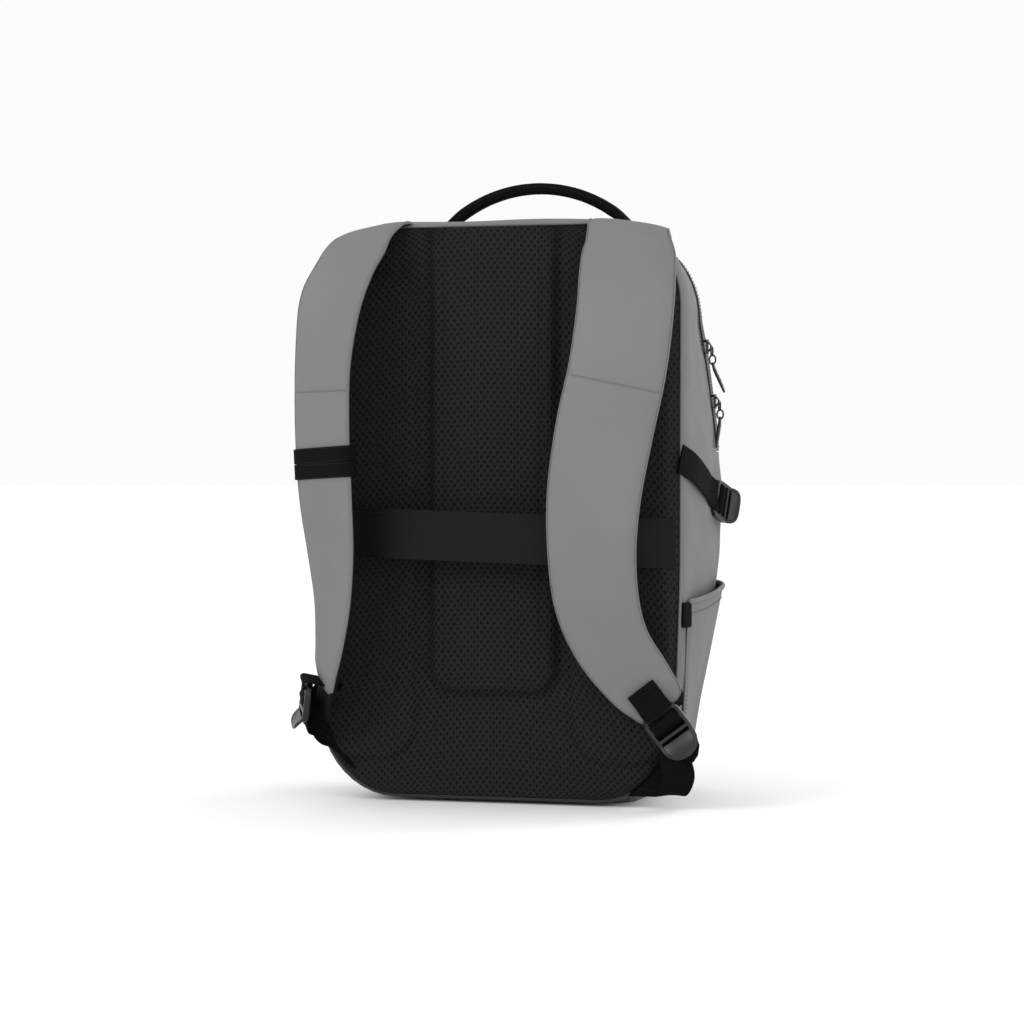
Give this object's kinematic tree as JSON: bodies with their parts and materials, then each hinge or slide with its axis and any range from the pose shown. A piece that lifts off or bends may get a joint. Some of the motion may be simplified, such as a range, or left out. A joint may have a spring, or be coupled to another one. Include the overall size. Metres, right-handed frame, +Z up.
{
  "type": "solar backpack",
  "caption": "Grey laptop backpack with mesh back padding, contoured shoulder straps, a trolley band and a solar panel on its folding front flap.",
  "frame": {"origin": "middle of the base panel's underside, which the bag stands on", "axes": "+Z up, -Y towards the wearer's back, +Y towards the solar panel, +X to the right when looking at the back padding"},
  "size_m": [0.3609, 0.272, 0.5055],
  "materials": {
    "shell_fabric": "matte smooth woven polyester, mid grey",
    "air_mesh": "black spacer mesh over foam",
    "webbing": "black woven webbing",
    "moulded_plastic": "satin moulded plastic",
    "zip_tape": "black woven zip tape and coil",
    "zip_slider": "black painted zinc",
    "base_fabric": "coated black base fabric",
    "solar_film": "laminated film over fibreglass board",
    "solar_cell": "monocrystalline cells under film",
    "lining_cloth": "plain lining cloth over foam",
    "stiffener_sheet": "polyethylene sheet",
    "bank_case": "satin case"
  },
  "bodies": {
    "bag": {"main_shell": "shell_fabric", "side_pocket_left": "shell_fabric", "side_pocket_right": "shell_fabric", "front_pocket": "shell_fabric", "back_mesh_panel": "air_mesh", "back_centre_pad": "air_mesh", "back_side_pad_left": "air_mesh", "back_side_pad_right": "air_mesh", "back_piping": "webbing", "trolley_band": "webbing", "pocket_tab_left": "webbing", "pocket_tab_right": "webbing", "front_pocket_hem": "webbing", "strap_anchor_right": "webbing", "strap_anchor_left": "webbing", "handle_anchor_left": "webbing", "handle_anchor_right": "webbing", "compression_webbing_left": "webbing", "compression_webbing_right": "webbing", "main_zip_tape_bag": "zip_tape", "main_zip_coil": "zip_tape", "base_panel": "base_fabric", "laptop_divider": "lining_cloth", "power_pocket": "lining_cloth", "back_frame_sheet": "stiffener_sheet"},
    "flap": {"flap_shell": "shell_fabric", "main_zip_tape_flap": "zip_tape", "solar_border": "webbing", "solar_laminate": "solar_film", "solar_cell_1": "solar_cell", "solar_cell_2": "solar_cell", "solar_cell_3": "solar_cell", "solar_cell_4": "solar_cell", "solar_cell_5": "solar_cell", "solar_cell_6": "solar_cell", "junction_box": "moulded_plastic"},
    "power_bank": {"power_bank": "bank_case"},
    "power_button": {"power_button": "moulded_plastic"},
    "upper_slider": {"main_slider_upper": "zip_slider"},
    "upper_pull": {"main_pull_upper": "moulded_plastic"},
    "lower_slider": {"main_slider_lower": "zip_slider"},
    "lower_pull": {"main_pull_lower": "moulded_plastic"},
    "carry_handle": {"carry_handle": "webbing"},
    "right_strap": {"right_strap_lining": "air_mesh", "right_strap_cover": "shell_fabric", "right_buckle_loop": "webbing", "right_webbing": "webbing"},
    "left_strap": {"left_strap_lining": "air_mesh", "left_strap_cover": "shell_fabric", "left_buckle_loop": "webbing", "left_webbing": "webbing", "left_keeper_band": "webbing"},
    "right_lock": {"right_ladder_lock": "moulded_plastic"},
    "left_lock": {"left_ladder_lock": "moulded_plastic"},
    "right_compression_buckle": {"compression_buckle_right": "moulded_plastic"},
    "left_compression_buckle": {"compression_buckle_left": "moulded_plastic"}
  },
  "joints": [
    {"name": "flap_hinge", "type": "hinge", "parent": "bag", "child": "flap", "pos_m": [0, 0.0905, 0.284], "axis": [-1, 0, 0], "range_deg": [0, 85]},
    {"name": "power_bank_slide", "type": "slide", "parent": "bag", "child": "power_bank", "axis": [0, 0, 1], "range_m": [0, 0.13]},
    {"name": "power_button_press", "type": "slide", "parent": "power_bank", "child": "power_button", "axis": [0, -1, 0], "range_m": [0, 0.0009], "stiffness_N_per_m": 300},
    {"name": "upper_slider_travel", "type": "slide", "parent": "bag", "child": "upper_slider", "axis": [-0.1513, 0, 0.9885], "range_m": [0, 0.016]},
    {"name": "lower_slider_travel", "type": "slide", "parent": "bag", "child": "lower_slider", "axis": [-0.1271, 0, 0.9919], "range_m": [-0.01, 0]},
    {"name": "upper_pull_swing", "type": "hinge", "parent": "upper_slider", "child": "upper_pull", "pos_m": [0.15341, 0.022, 0.37124], "axis": [0, -1, 0], "range_deg": [0, 100]},
    {"name": "lower_pull_swing", "type": "hinge", "parent": "lower_slider", "child": "lower_pull", "pos_m": [0.15993, 0.022, 0.32604], "axis": [0, -1, 0], "range_deg": [0, 100]},
    {"name": "handle_tilt", "type": "hinge", "parent": "bag", "child": "carry_handle", "pos_m": [0.012, -0.004, 0.468], "axis": [1, 0, 0], "range_deg": [-20, 20], "stiffness_Nm_per_rad": 0.08},
    {"name": "right_strap_swing", "type": "hinge", "parent": "bag", "child": "right_strap", "pos_m": [0.158, -0.089, 0.25], "axis": [0, 0, 1], "range_deg": [0, 60]},
    {"name": "left_strap_swing", "type": "hinge", "parent": "bag", "child": "left_strap", "pos_m": [-0.158, -0.089, 0.25], "axis": [0, 0, -1], "range_deg": [0, 45]},
    {"name": "right_lock_tilt", "type": "hinge", "parent": "right_strap", "child": "right_lock", "pos_m": [0.149, -0.111, 0.0765], "axis": [-0.7918, -0.1505, -0.5919], "range_deg": [0, 50]},
    {"name": "left_lock_tilt", "type": "hinge", "parent": "left_strap", "child": "left_lock", "pos_m": [-0.144, -0.1215, 0.094], "axis": [-0.4314, 0.8593, 0.2748], "range_deg": [0, 50]},
    {"name": "right_buckle_tilt", "type": "hinge", "parent": "bag", "child": "right_compression_buckle", "pos_m": [0.1643, 0.002, 0.247], "axis": [-0.0779, -0.3123, -0.9468], "range_deg": [0, 40]},
    {"name": "left_buckle_tilt", "type": "hinge", "parent": "bag", "child": "left_compression_buckle", "pos_m": [-0.1643, 0.002, 0.247], "axis": [-0.0779, 0.3123, 0.9468], "range_deg": [0, 40]}
  ]
}
